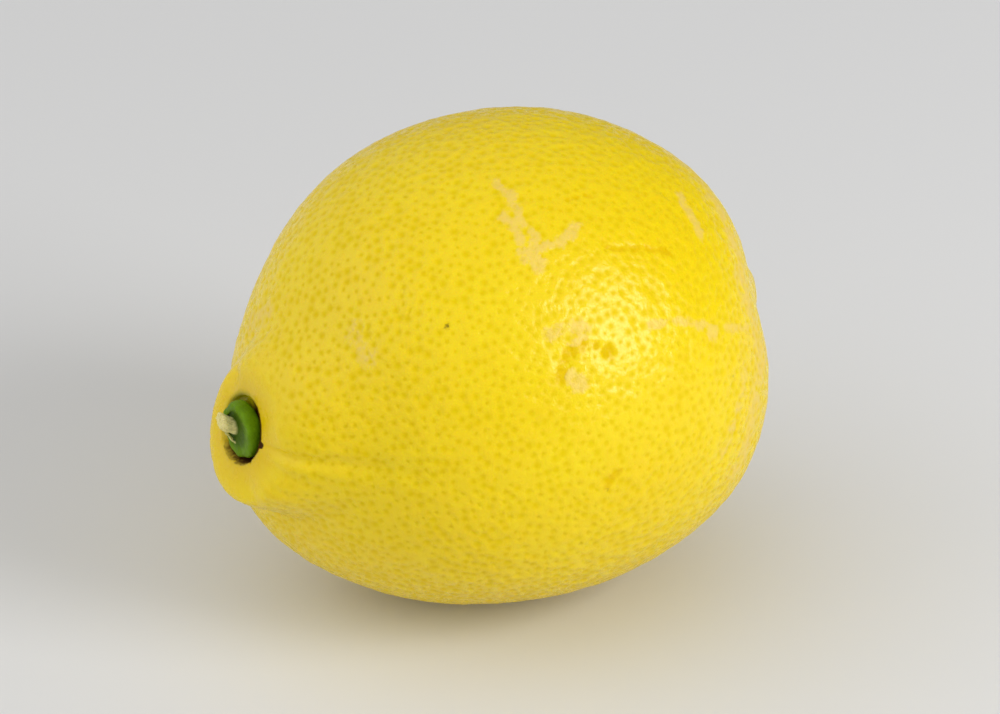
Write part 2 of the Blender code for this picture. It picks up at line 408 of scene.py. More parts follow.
class SharedEffects:
    """The shader effects that the peel and the button share."""

    def __init__(self) -> None:
        """Build each group once."""
        self.mottle = self.build_mottle()
        self.fleck = self.build_fleck()

    @staticmethod
    def build_mottle() -> bpy.types.NodeTree:
        """Make the group of soft uneven patches from 0 to 1, of a size in metres.

        Returns:
            The group, with the inputs Place, Size and Contrast.
        """
        wires = new_group(
            "mottle",
            [("Place", "NodeSocketVector"), ("Size", "NodeSocketFloat"), ("Contrast", "NodeSocketFloat")],
            [("Patch", "NodeSocketFloat")],
        )
        entry = wires.node("NodeGroupInput")
        scale = wires.math("DIVIDE", 1.0, entry.outputs["Size"])
        feeds = {"Vector": entry.outputs["Place"], "Scale": scale, "Detail": 3.0, "Roughness": 0.55}
        cloud = wires.node("ShaderNodeTexNoise", feeds).outputs["Fac"]
        spread = wires.times(wires.math("SUBTRACT", cloud, 0.5), entry.outputs["Contrast"])
        wires.node("NodeGroupOutput", {"Patch": wires.math("ADD", spread, 0.5, clamp=True)})
        return wires.tree

    @staticmethod
    def build_fleck() -> bpy.types.NodeTree:
        """Make the group that breaks a soft mark into ragged flecks by a patchy pattern.

        Returns:
            The group, with the inputs Mark, Pattern and Cover.
        """
        wires = new_group(
            "fleck",
            [("Mark", "NodeSocketFloat"), ("Pattern", "NodeSocketFloat"), ("Cover", "NodeSocketFloat")],
            [("Fleck", "NodeSocketFloat")],
        )
        entry = wires.node("NodeGroupInput")
        raised = wires.sum(entry.outputs["Mark"], entry.outputs["Pattern"], entry.outputs["Cover"])
        sharp = wires.ramp(raised, 1.15, 1.95)
        marked = wires.ramp(entry.outputs["Mark"], 0.02, 0.15)
        wires.node("NodeGroupOutput", {"Fleck": wires.times(sharp, marked)})
        return wires.tree


class EffectWiring(Wiring):
    """Adds the shared effects to one material."""

    def __init__(self, material: bpy.types.Material, effects: SharedEffects) -> None:
        """Keep the material's tree, its shader and its object coordinates.

        Args:
            material: The material in hand.
            effects: The shared shader effects.
        """
        material.use_nodes = True
        super().__init__(material.node_tree)
        self.effects = effects
        self.shader = material.node_tree.nodes["Principled BSDF"]
        self.place = self.node("ShaderNodeTexCoord").outputs["Object"]

    def mottle(self, size: float, contrast: float, place: Socket | None = None) -> Socket:
        """Patches of one size in metres, from 0 to 1."""
        feeds = {"Place": place or self.place, "Size": size, "Contrast": contrast}
        return self.grouped(self.effects.mottle, feeds)

    def fleck(self, mark: Socket, pattern: Socket, cover: float = 0.5) -> Socket:
        """A mark broken by a pattern; it covers more where cover is higher."""
        return self.grouped(self.effects.fleck, {"Mark": mark, "Pattern": pattern, "Cover": cover})

    def grouped(self, group: bpy.types.NodeTree, feeds: dict[str | int, object]) -> Socket:
        """Place a group and feed it."""
        return self.node("ShaderNodeGroup", feeds, node_tree=group).outputs[0]

    def feed(self, name: str, value: Socket) -> None:
        """Join a socket to one of the shader's inputs."""
        self.tree.links.new(value, self.shader.inputs[name])

    def settle(self, **values: object) -> None:
        """Set plain values on the shader's inputs, with _ for a space in their names."""
        for name, value in values.items():
            self.shader.inputs[name.replace("_", " ")].default_value = value


@dataclass(frozen=True)
class PeelFinish:
    """Waxy ripe peel: yellow, darker in its pores, with tan rub marks and a few brown specks; painted shadow
    darkens the bowl, the gold round it is partly painted shade, and two pale patches are partly painted
    sheen.
    """

    lit: Colour = (0.900, 0.700, 0.001)
    deep: Colour = (0.870, 0.600, 0.001)
    pore: Colour = (0.560, 0.380, 0.001)
    rub: Colour = (0.850, 0.610, 0.120)
    crease: Colour = (0.740, 0.470, 0.002)
    green: Colour = (0.230, 0.230, 0.002)
    # Dark brown: painted shadow in the bowl, and the blossom tip's own husk.
    husk: Colour = (0.050, 0.016, 0.003)
    speck: Colour = (0.200, 0.130, 0.010)
    # Deeper gold round the bowl: partly the collar's own colour, partly painted shade round the recess.
    collar_gold_and_shade: Colour = (0.680, 0.410, 0.001)
    form: LemonForm = field(default_factory=LemonForm)
    green_angle: float = math.radians(72.0)
    # Painted shadow in the bowl: the side it darkens, and the side and corner where it reaches further over
    # the rim.
    husk_angle: float = math.radians(207.0)
    rim_angle: float = math.radians(150.0)
    corner_angle: float = math.radians(181.0)
    fray: float = 0.14 * MM
    tinge_start: float = -31.0 * MM
    tinge_full: float = -33.0 * MM
    broad_patch: float = 16.0 * MM
    fine_patch: float = 1.5 * MM
    grain: float = 0.4 * MM
    rub_and_sheen_cover: float = 0.74
    crease_cover: float = 0.7
    speck_cover: float = 0.6
    roughness: float = 0.22
    relief: float = 0.14 * MM

    def opening(self, wires: EffectWiring, uneven: Socket) -> tuple[Socket, Socket, Socket]:
        """Read the colours round the bowl from each point's distance and direction off the bowl's axis,
        painted shadow among them.

        Args:
            wires: The material in hand.
            uneven: A pattern from 0 to 1 that frays the edges.

        Returns:
            How deep in painted shadow, how green and how golden each point is; the gold is partly painted
            shade.
        """
        lip = self.form.bowl_lip_radius
        middle = Vector(self.form.centre) + Vector(self.form.bowl_offset)
        off = wires.vector("SUBTRACT", wires.place, middle)
        along = wires.node("ShaderNodeSeparateXYZ", {0: off}).outputs["X"]
        at_stem = wires.ramp(along, self.tinge_start, self.tinge_full)
        flat = wires.vector("MULTIPLY", off, (0.0, 1.0, 1.0))
        reach = wires.vector("LENGTH", flat)
        way = wires.vector("NORMALIZE", flat)

        def side(angle: float, low: float, high: float) -> Socket:
            """How far each point lies to one side of the bowl."""
            facing = wires.vector("DOT_PRODUCT", way, (0.0, math.cos(angle), math.sin(angle)))
            return wires.ramp(facing, low, high)

        frayed = wires.sum(reach, wires.times(uneven, self.fray), -0.5 * self.fray)
        share = wires.times(frayed, 1.0 / lip)
        edge = wires.sum(1.02, wires.times(side(self.rim_angle, 0.4, 0.9), 0.05))
        edge = wires.sum(edge, wires.times(side(self.corner_angle, 0.993, 1.0), 0.13))
        # Painted shadow: dark brown on the bowl's lip and wall, on one side and deepest at a corner, where
        # the gap round the calyx lies in shade.
        husk = wires.ramp(wires.math("SUBTRACT", share, edge), 0.05, -0.02)
        husk = wires.times(husk, at_stem, side(self.husk_angle, -0.45, -0.10))
        tinge = wires.sum(0.2, wires.times(side(self.green_angle, 0.2, 0.9), 0.8))
        green = wires.times(wires.ramp(share, 1.24, 0.98), at_stem, tinge)
        # Gold round the bowl, partly painted shade.
        gold_and_shade = wires.times(wires.ramp(share, 2.2, 1.0), at_stem)
        return husk, green, gold_and_shade

    def material(self, effects: SharedEffects) -> bpy.types.Material:
        """Make the peel's material.

        Args:
            effects: The shared shader effects.

        Returns:
            The finished material.
        """
        material = bpy.data.materials.new("lemon_peel")
        wires = EffectWiring(material, effects)
        broad = wires.mottle(self.broad_patch, 1.8)
        fine = wires.mottle(self.fine_patch, 1.9)
        grain = wires.mottle(self.grain, 1.8)
        pore = wires.ramp(wires.trait(Trait.PORE), 0.08, 0.90)
        worn = wires.weigh((fine, 0.5), (grain, 0.5), (pore, -0.3))
        rub = wires.fleck(wires.trait(Trait.RUB_AND_SHEEN), worn, self.rub_and_sheen_cover)
        crease = wires.fleck(wires.trait(Trait.CREASE), fine, self.crease_cover)
        speck = wires.fleck(wires.trait(Trait.SPECK), grain, self.speck_cover)
        husk, green, gold_and_shade = self.opening(wires, grain)
        # Painted shadow in the bowl, joined with the real brown husk at the blossom tip.
        husk = wires.math("MAXIMUM", husk, wires.trait(Trait.HUSK))
        lip = wires.math("MAXIMUM", green, wires.trait(Trait.LIP))
        ripe = wires.weigh((broad, 0.5), (fine, 0.4))
        colour = wires.blend(ripe, self.lit, self.deep)
        colour = wires.blend(wires.times(pore, 0.29), colour, self.pore)
        colour = wires.blend(wires.times(crease, 0.65), colour, self.crease)
        # Pale tan: rub marks, and painted sheen in the two patches by the collar.
        colour = wires.blend(wires.times(rub, wires.sum(0.5, wires.times(grain, 0.45))), colour, self.rub)
        # Gold round the bowl: partly the collar's colour, partly painted shade.
        colour = wires.blend(wires.times(gold_and_shade, 0.5), colour, self.collar_gold_and_shade)
        colour = wires.blend(wires.times(lip, 0.8), colour, self.green)
        colour = wires.blend(speck, colour, self.speck)
        # Dark brown: painted shadow round the bowl, and the blossom tip's own husk.
        wires.feed("Base Color", wires.blend(husk, colour, self.husk))
        rough = wires.weigh((pore, 0.25), (fine, 0.08), (rub, 0.15), (husk, 0.4))
        wires.feed("Roughness", wires.sum(rough, self.roughness))
        height = wires.sum(wires.times(fine, 0.5), wires.times(grain, 0.2), wires.times(rub, grain, 0.2))
        bump = wires.node("ShaderNodeBump", {"Height": height, "Distance": self.relief, "Strength": 1.0})
        wires.feed("Normal", bump.outputs["Normal"])
        dull = wires.weigh((pore, 0.4), (husk, 0.4), (crease, 0.3), (lip, 0.3))
        wires.feed("Specular IOR Level", wires.math("SUBTRACT", 0.5, wires.math("MINIMUM", dull, 0.45)))
        wires.settle(IOR=1.45, Specular_Tint=(1.0, 1.0, 0.80, 1.0))
        wires.settle(Subsurface_Weight=0.10, Subsurface_Radius=(1.0, 0.5, 0.05), Subsurface_Scale=1.0 * MM)
        return material


@dataclass(frozen=True)
class CalyxFinish:
    """Fresh green calyx, with painted shade darkening its hollow, and the pale fibrous stub of the stem."""

    green: Colour = (0.150, 0.300, 0.001)
    # Darker green: the calyx's own darker patches, and painted shade in its hollow.
    dark_green_and_shade: Colour = (0.040, 0.090, 0.001)
    cream: Colour = (0.880, 0.790, 0.340)
    straw: Colour = (0.460, 0.350, 0.080)
    coarse_patch: float = 1.3 * MM
    grain: float = 0.35 * MM
    fibre_width: float = 0.30 * MM
    fibre_stretch: float = 0.22
    roughness: float = 0.42
    relief: float = 0.10 * MM

    def material(self, effects: SharedEffects) -> bpy.types.Material:
        """Make the button's material.

        Args:
            effects: The shared shader effects.

        Returns:
            The finished material.
        """
        material = bpy.data.materials.new("calyx_and_stub")
        wires = EffectWiring(material, effects)
        coarse = wires.mottle(self.coarse_patch, 2.2)
        grain = wires.mottle(self.grain, 2.0)
        feeds = {"Vector": wires.place, "Scale": (self.fibre_stretch, 1.0, 1.0)}
        along = wires.node("ShaderNodeMapping", feeds).outputs[0]
        fibre = wires.mottle(self.fibre_width, 2.4, along)
        stub = wires.trait(Trait.STUB)
        hollow = wires.trait(Trait.HOLLOW_SHADE)
        leaf = wires.blend(wires.times(coarse, 0.55), self.green, self.dark_green_and_shade)
        # Painted shade in the hollow round the stub.
        leaf = wires.blend(wires.times(hollow, 0.9), leaf, self.dark_green_and_shade)
        wood = wires.blend(wires.times(wires.ramp(fibre, 0.3, 1.0), 0.4), self.cream, self.straw)
        wires.feed("Base Color", wires.blend(stub, leaf, wood))
        wires.feed("Roughness", wires.sum(self.roughness, wires.times(stub, 0.35), wires.times(grain, 0.1)))
        relief = wires.sum(wires.times(coarse, 0.8), wires.times(grain, 0.4), wires.times(fibre, stub, 0.9))
        bump = wires.node("ShaderNodeBump", {"Height": relief, "Distance": self.relief, "Strength": 1.0})
        wires.feed("Normal", bump.outputs["Normal"])
        wires.settle(IOR=1.30, Specular_Tint=(0.9, 1.0, 0.35, 1.0))
        wires.settle(Subsurface_Weight=0.06, Subsurface_Radius=(0.6, 0.8, 0.1), Subsurface_Scale=0.5 * MM)
        return material


@dataclass(frozen=True)
class PaperFinish:
    """The pale matt sweep that the fruit lies on."""

    tone: Colour = (0.74, 0.74, 0.74)
    roughness: float = 0.9
    grain: float = 900.0
    relief: float = 0.02 * MM

    def material(self) -> bpy.types.Material:
        """Make the floor's material, with the faintest paper grain.

        Returns:
            The finished material.
        """
        material = bpy.data.materials.new("pale_sweep")
        material.use_nodes = True
        wires = Wiring(material.node_tree)
        shader = material.node_tree.nodes["Principled BSDF"]
        place = wires.node("ShaderNodeTexCoord").outputs["Object"]
        cloud = wires.node("ShaderNodeTexNoise", {"Vector": place, "Scale": self.grain}).outputs["Fac"]
        shader.inputs["Base Color"].default_value = (*self.tone, 1.0)
        shader.inputs["Roughness"].default_value = self.roughness
        feeds = {"Height": cloud, "Distance": self.relief, "Strength": 0.5}
        wires.tree.links.new(wires.node("ShaderNodeBump", feeds).outputs["Normal"], shader.inputs["Normal"])
        return material


class RingMesh:
    """A closed surface of stitched rings between two poles."""

    def __init__(self) -> None:
        """Start with no rings."""
        self.rings: list[np.ndarray] = []
        self.starts: list[int] = []
        self.phases: list[float] = []
        self.total = 0

    def add_ring(self, points: np.ndarray, phase: float = 0.0) -> None:
        """Add a ring.

        Args:
            points: The ring's points, in right-handed order round the way from the first ring to the last.
            phase: Where the first lies, as a share of the step between two.
        """
        self.rings.append(points)
        self.starts.append(self.total)
        self.phases.append(phase)
        self.total += len(points)

    def band(self, low: int, high: int) -> list[tuple[int, int, int]]:
        """Join two neighbouring rings, walking round both in step.

        Args:
            low: The number of the first ring.
            high: The number of the next ring.

        Returns:
            The triangles between them.
        """
        n, m = len(self.rings[low]), len(self.rings[high])
        a, b = self.starts[low], self.starts[high]
        i = j = 0
        faces = []
        while i < n or j < m:
            ahead_low = (i + 1 + self.phases[low]) / n
            ahead_high = (j + 1 + self.phases[high]) / m
            if j == m or (i < n and ahead_low <= ahead_high):
                faces.append((a + i % n, b + j % m, a + (i + 1) % n))
                i += 1
            else:
                faces.append((a + i % n, b + j % m, b + (j + 1) % m))
                j += 1
        return faces

    def close(self, first_pole: np.ndarray, last_pole: np.ndarray) -> Shell:
        """Close the surface at both ends.

        Args:
            first_pole: The point that closes the first ring.
            last_pole: The point that closes the last ring.

        Returns:
            The closed surface.
        """
        faces = [face for row in range(len(self.rings) - 1) for face in self.band(row, row + 1)]
        first, last = self.total, self.total + 1
        n, m = len(self.rings[0]), len(self.rings[-1])
        faces += [(first, i, (i + 1) % n) for i in range(n)]
        faces += [(last, self.starts[-1] + (i + 1) % m, self.starts[-1] + i) for i in range(m)]
        points = np.concatenate([*self.rings, first_pole[None], last_pole[None]])
        return Shell(points, np.array(faces)[:, ::-1])


@dataclass
class Shell:
    """A closed surface of triangles, not yet in the scene."""

    points: np.ndarray
    faces: np.ndarray

    def turned(self) -> Shell:
        """The same surface with its triangles facing the other way."""
        return Shell(self.points, self.faces[:, ::-1])


def tube(line: np.ndarray, radii: np.ndarray, sides: int) -> Shell:
    """Sweep a closed round tube along a line.

    Args:
        line: The points of its middle line.
        radii: Its radius at each point.
        sides: How many points go round it.

    Returns:
        The tube's surface.
    """
    ahead = np.gradient(line, axis=0)
    ahead /= np.linalg.norm(ahead, axis=1)[:, None]
    angles = TURN * np.arange(sides) / sides
    surface = RingMesh()
    for point, way, radius in zip(line, ahead, radii):
        side = np.cross(way, (0.0, 0.3, 1.0))
        side /= np.linalg.norm(side)
        up = np.cross(way, side)
        surface.add_ring(point + radius * (np.outer(np.cos(angles), side) + np.outer(np.sin(angles), up)))
    return surface.close(line[0] - ahead[0] * 0.5 * radii[0], line[-1] + ahead[-1] * 0.5 * radii[-1])


def join_shells(name: str, shells: Sequence[Shell]) -> bpy.types.Object:
    """Put several closed surfaces in the scene as one object, their points in the same order."""
    offsets = np.cumsum([0] + [len(shell.points) for shell in shells])
    faces = np.concatenate([shell.faces + offset for shell, offset in zip(shells, offsets)])
    return new_mesh(name, np.concatenate([shell.points for shell in shells]), faces.tolist())


def new_mesh(name: str, points: np.ndarray, faces: Sequence[tuple[int, ...]]) -> bpy.types.Object:
    """Make a smooth mesh and put it in the scene.

    Args:
        name: The object's name.
        points: Its points, one row each.
        faces: The numbers of each face's points.

    Returns:
        The new object.
    """
    data = bpy.data.meshes.new(name)
    data.from_pydata(points.tolist(), [], faces)
    data.shade_smooth()
    item = bpy.data.objects.new(name, data)
    bpy.context.scene.collection.objects.link(item)
    return item


def keep_values(item: bpy.types.Object, name: str, values: np.ndarray) -> None:
    """Store one value for each point of a mesh."""
    attribute = item.data.attributes.new(name, "FLOAT", "POINT")
    attribute.data.foreach_set("value", values.astype(np.float32))


def mesh_points(item: bpy.types.Object) -> np.ndarray:
    """The points of a mesh, one row each."""
    points = np.empty(len(item.data.vertices) * 3, np.float32)
    item.data.vertices.foreach_get("co", points)
    return points.reshape(-1, 3).astype(float)


def hold_in_box(item: bpy.types.Object, node: Node) -> None:
    """Trim the hair's breadth by which a finer mesh may pass its solid's box."""
    low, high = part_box(node.value)
    points = np.clip(mesh_points(item), np.array(low), np.array(high))
    item.data.vertices.foreach_set("co", points.astype(np.float32).ravel())
    item.data.update()


def smooth_line(corners: np.ndarray, step: float) -> np.ndarray:
    """Run a smooth line through corner points.

    Args:
        corners: The points, one row each.
        step: The distance between two points of the line.

    Returns:
        Points at even steps along the line, from the first corner to the last.
    """
    padded = np.vstack([2 * corners[0] - corners[1], corners, 2 * corners[-1] - corners[-2]])
    pieces = []
    for p0, p1, p2, p3 in zip(padded, padded[1:], padded[2:], padded[3:]):
        t = np.linspace(0.0, 1.0, 24, endpoint=False)[:, None]
        bend = (2 * p0 - 5 * p1 + 4 * p2 - p3) * t**2 + (3 * p1 - p0 - 3 * p2 + p3) * t**3
        pieces.append(0.5 * (2 * p1 + (p2 - p0) * t + bend))
    line = np.vstack([*pieces, corners[-1:]])
    length = np.concatenate([[0.0], np.cumsum(np.linalg.norm(np.diff(line, axis=0), axis=1))])
    steps = np.linspace(0.0, length[-1], max(2, round(length[-1] / step) + 1))
    return np.stack([np.interp(steps, length, column) for column in line.T], axis=-1)


def wobble(points: np.ndarray, size: float, seed: float) -> np.ndarray:
    """Smooth noise at each point, one row of three values between about -1 and 1.

    Args:
        points: Where the noise is read.
        size: The noise's size in metres.
        seed: Moves the noise, so that each use has its own.

    Returns:
        The noise, one row for each point.
    """
    return np.array([noise.noise_vector(Vector(point / size) + Vector((seed, 0.0, 0.0))) for point in points])


@dataclass
class Blemishes:
    """The fruit's rub marks, creases and specks, and two patches of painted sheen, as points scattered along
    their lines.
    """

    form: LemonForm
    step: float = 0.2 * MM
    stride: float = 1.0 * MM
    samples: int = 400
    marks: tuple[SkinMark, ...] = (
        # Branched rub on the upper side, and a short one nearer the blossom end.
        SkinMark(105, -5 * MM, 90, 10 * MM, reach=0.45 * MM, rub=0.9),
        SkinMark(115, -7 * MM, 75, 6 * MM, 45, reach=0.55 * MM, rub=1.0),
        SkinMark(125, -6 * MM, 15, 7 * MM, -45, reach=0.5 * MM, rub=1.0),
        SkinMark(125, -7 * MM, 60, 2 * MM, reach=0.85 * MM, rub=0.9),
        SkinMark(120, 18 * MM, 90, 6 * MM, reach=0.55 * MM, rub=1.1),
        # Scuffs inside and beside a hooked crease.
        SkinMark(145, -8 * MM, 0, 5 * MM, 15, reach=0.8 * MM, rub=1.05),
        SkinMark(150, -6 * MM, -30, 2 * MM, reach=0.7 * MM, rub=1.05),
        SkinMark(155, -7 * MM, 60, 2 * MM, reach=0.75 * MM, rub=1.1),
        SkinMark(155, -8 * MM, -80, 9 * MM, 150, reach=0.6 * MM, crease=1.0, waver=0.1 * MM),
        # Thin line with a knot, running to the blossom end.
        SkinMark(150, 5 * MM, 0, 10 * MM, 30, reach=0.42 * MM, rub=1.0, waver=0.15 * MM),
        SkinMark(155, 14 * MM, 15, 8 * MM, reach=0.42 * MM, rub=0.8, waver=0.15 * MM),
        SkinMark(155, 14 * MM, 45, 1 * MM, reach=0.7 * MM, rub=1.4, waver=0.0),
        # Faint pale patches by the collar: partly rub, partly painted sheen.
        SkinMark(120, -27 * MM, 90, 4 * MM, reach=1.0 * MM, rub=0.45),
        SkinMark(45, -30 * MM, 90, 5 * MM, reach=1.4 * MM, rub=0.55),
        # Pale worn band round the blossom half.
        SkinMark(100, 25 * MM, 90, 16 * MM, reach=1.4 * MM, rub=0.75),
        SkinMark(145, 24 * MM, 90, 12 * MM, reach=1.8 * MM, rub=0.85),
        SkinMark(175, 23 * MM, 105, 13 * MM, 15, reach=1.5 * MM, rub=0.75),
        SkinMark(170, 20 * MM, 120, 11 * MM, reach=0.7 * MM, rub=0.6),
        # Far side and underside.
        SkinMark(250, 8 * MM, 60, 11 * MM, reach=0.9 * MM, rub=0.8),
        SkinMark(20, -6 * MM, 45, 14 * MM, reach=0.5 * MM, rub=0.8),
        SkinMark(30, 2 * MM, 120, 8 * MM, reach=0.7 * MM, rub=0.8),
        SkinMark(330, 14 * MM, 75, 8 * MM, reach=0.8 * MM, rub=0.7),
        SkinMark(300, -12 * MM, 45, 9 * MM, reach=0.35 * MM, crease=0.8),
        # Fine creases.
        SkinMark(130, 3 * MM, 15, 9 * MM, reach=0.35 * MM, crease=0.8, waver=0.15 * MM),
        SkinMark(115, -2 * MM, 0, 7 * MM, 15, reach=0.3 * MM, crease=0.5, waver=0.15 * MM),
        SkinMark(185, -4 * MM, -45, 3 * MM, reach=0.3 * MM, crease=0.9, waver=0.15 * MM),
        # Specks.
        SkinMark(135, -19 * MM, reach=0.24 * MM, speck=0.6, waver=0.0),
        SkinMark(170, 17 * MM, reach=0.34 * MM, speck=0.7, waver=0.0),
        SkinMark(185, -4 * MM, reach=0.24 * MM, speck=0.7, waver=0.0),
        SkinMark(65, 12 * MM, reach=0.24 * MM, speck=0.7, waver=0.0),
        SkinMark(320, -16 * MM, reach=0.28 * MM, speck=0.7, waver=0.0),
    )

    def place_on_skin(self, angle: float, along: float) -> np.ndarray:
        """The point of the skin at an angle in radians and a distance along X."""
        polar = np.linspace(0.1, math.pi - 0.1, self.samples)
        line = self.form.skin(polar, np.full(self.samples, angle))
        return line[int(np.argmin(np.abs(line[:, 0] - along)))]

    def walk(self, mark: SkinMark) -> np.ndarray:
        """Follow a mark over the skin.

        Args:
            mark: The mark.

        Returns:
            Places along it, about a stride apart.
        """
        angle, along = math.radians(mark.angle), mark.along
        count = max(1, round(mark.length / self.stride))
        places = [self.place_on_skin(angle, along)]
        for number in range(count):
            heading = math.radians(mark.heading + mark.bend * (number + 0.5) / count)
            arm = math.hypot(*(places[-1] - np.array(self.form.centre))[1:])
            angle += math.sin(heading) * mark.length / count / arm
            along += math.cos(heading) * mark.length / count
            places.append(self.place_on_skin(angle, along))
        return np.array(places)

    def build(self) -> bpy.types.Object:
        """Scatter the marks' points.

        Returns:
            An object with loose points only, each with its reach and strengths.
        """
        points, reach, strengths = [], [], []
        for number, mark in enumerate(self.marks):
            line = smooth_line(self.walk(mark), self.step)
            sway = wobble(line, 1.6 * MM, 10.0 * number)
            fade = np.clip(0.85 + 0.9 * wobble(line, 0.9 * MM, 10.0 * number + 5.0)[:, 0], 0.4, 1.0)
            points.append(line + mark.waver * 2.0 * sway)
            reach.append(mark.reach * (0.6 + 0.8 * fade))
            strengths.append(np.outer(fade, (mark.rub, mark.crease, mark.speck)))
        item = new_mesh("skin_marks", np.concatenate(points), [])
        keep_values(item, "reach", np.concatenate(reach))
        for trait, values in zip((Trait.RUB_AND_SHEEN, Trait.CREASE, Trait.SPECK), np.concatenate(strengths).T):
            keep_values(item, trait.value, values)
        return item


@dataclass
class SkinDetail:
    """Geometry nodes that pull a skin's points onto scattered pores, sink them and lay its marks."""

    pore_gap: float = 1.08 * MM
    pore_radius: float = 0.98 * MM
    pore_depth: float = 0.15 * MM
    ripple_size: float = 2.7 * MM
    ripple_height: float = 0.30 * MM
    crease_depth: float = 0.20 * MM
    mark_waver: float = 0.9 * MM
    waver_scale: float = 900.0
    least_pore: float = 0.42
    pore_crowding: float = 2.6
    seed: int = 11

    def settings(
        self, marks: bpy.types.Object, peel: bpy.types.Material
    ) -> tuple[tuple[str, str, object], ...]:
        """List the tree's inputs after its skin.

        Args:
            marks: The points of the skin's marks.
            peel: The skin's material.

        Returns:
            The name, socket type and value of each input.
        """
        return (
            ("Pore Gap", "NodeSocketFloat", self.pore_gap),
            ("Pore Radius", "NodeSocketFloat", self.pore_radius),
            ("Pore Depth", "NodeSocketFloat", self.pore_depth),
            ("Ripple Size", "NodeSocketFloat", self.ripple_size),
            ("Ripple Height", "NodeSocketFloat", self.ripple_height),
            ("Crease Depth", "NodeSocketFloat", self.crease_depth),
            ("Mark Waver", "NodeSocketFloat", self.mark_waver),
            ("Seed", "NodeSocketInt", self.seed),
            ("Marks", "NodeSocketObject", marks),
            ("Peel", "NodeSocketMaterial", peel),
        )

    def build_tree(self, settings: Sequence[tuple[str, str, object]]) -> bpy.types.NodeTree:
        """Wire the tree from its named inputs to the dressed skin.

        Args:
            settings: The name, socket type and value of each input after the skin.

        Returns:
            The tree.
        """
        tree = bpy.data.node_groups.new("skin_detail", "GeometryNodeTree")
        tree.is_modifier = True
        tree.interface.new_socket(name="Skin", in_out="INPUT", socket_type="NodeSocketGeometry")
        for label, kind, _ in settings:
            tree.interface.new_socket(name=label, in_out="INPUT", socket_type=kind)
        tree.interface.new_socket(name="Skin", in_out="OUTPUT", socket_type="NodeSocketGeometry")
        wires = Wiring(tree)
        entry = wires.node("NodeGroupInput").outputs
        skin = self.wire_pores(wires, entry)
        skin = self.wire_marks(wires, entry, skin)
        skin = self.wire_relief(wires, entry, skin)
        real = wires.node("GeometryNodeRealizeInstances", {"Geometry": skin}).outputs[0]
        dressed = wires.node("GeometryNodeSetMaterial", {"Geometry": real, "Material": entry["Peel"]})
        wires.node("NodeGroupOutput", {"Skin": dressed.outputs[0]})
        return tree

    @staticmethod
    def read(wires: Wiring, name: str, kind: str = "FLOAT") -> Socket:
        """Read a named value of the geometry in hand."""
        made = wires.node("GeometryNodeInputNamedAttribute", {"Name": name}, data_type=kind)
        return next(socket for socket in made.outputs if socket.enabled and socket.name == "Attribute")

    @staticmethod
    def store(wires: Wiring, geometry: Socket, name: str, value: Socket, kind: str = "FLOAT") -> Socket:
        """Store a named value on the points of a geometry."""
        feeds = {"Geometry": geometry, "Name": name, "Value": value}
        return wires.node("GeometryNodeStoreNamedAttribute", feeds, data_type=kind, domain="POINT").outputs[0]

    @staticmethod
    def sample(wires: Wiring, geometry: Socket, value: Socket, index: Socket, kind: str = "FLOAT") -> Socket:
        """Read a value from one point of another geometry."""
        feeds = {"Geometry": geometry, "Value": value, "Index": index}
        made = wires.node("GeometryNodeSampleIndex", feeds, data_type=kind, domain="POINT")
        return next(socket for socket in made.outputs if socket.enabled)

    def wire_pores(self, wires: Wiring, entry: bpy.types.NodeOutputs) -> Socket:
        """Scatter pores, pull the nearest point of the skin onto each, and store how deep each point lies.

        Args:
            wires: The tree in hand.
            entry: Its inputs.

        Returns:
            The skin with its pores marked.
        """
        skin = entry["Skin"]
        index = wires.node("GeometryNodeInputIndex").outputs[0]
        place = wires.node("GeometryNodeInputPosition").outputs[0]
        crowd = wires.math("DIVIDE", self.pore_crowding, wires.times(entry["Pore Gap"], entry["Pore Gap"]))
        feeds = {"Mesh": skin, "Distance Min": entry["Pore Gap"], "Density Max": crowd, "Seed": entry["Seed"]}
        kind = "GeometryNodeDistributePointsOnFaces"
        pores = wires.node(kind, feeds, distribute_method="POISSON").outputs["Points"]
        host = wires.node("GeometryNodeSampleNearest", {"Geometry": skin}, domain="POINT").outputs[0]
        pores = self.store(wires, pores, "host", host, "INT")
        feeds = {"Min": self.least_pore, "Max": 1.0, "ID": index, "Seed": entry["Seed"]}
        chance = wires.node("FunctionNodeRandomValue", feeds, data_type="FLOAT")
        size = next(socket for socket in chance.outputs if socket.enabled)
        pores = self.store(wires, pores, "size", size)
        near = wires.node("GeometryNodeSampleNearest", {"Geometry": pores}, domain="POINT").outputs[0]
        middle = self.sample(wires, pores, place, near, "FLOAT_VECTOR")
        owner = self.sample(wires, pores, self.read(wires, "host", "INT"), near, "INT")
        feeds = {"A": owner, "B": index}
        owned = wires.node("FunctionNodeCompare", feeds, data_type="INT", operation="EQUAL").outputs[0]
        feeds = {"Geometry": skin, "Selection": owned, "Position": middle}
        pulled = wires.node("GeometryNodeSetPosition", feeds).outputs[0]
        gap = wires.vector("DISTANCE", place, middle)
        breadth = self.sample(wires, pores, self.read(wires, "size"), near)
        share = wires.math("DIVIDE", gap, wires.times(entry["Pore Radius"], breadth))
        within = wires.math("SUBTRACT", 1.0, share, clamp=True)
        depth = wires.times(within, self.read(wires, Trait.PORED.value))
        return self.store(wires, pulled, Trait.PORE.value, depth)

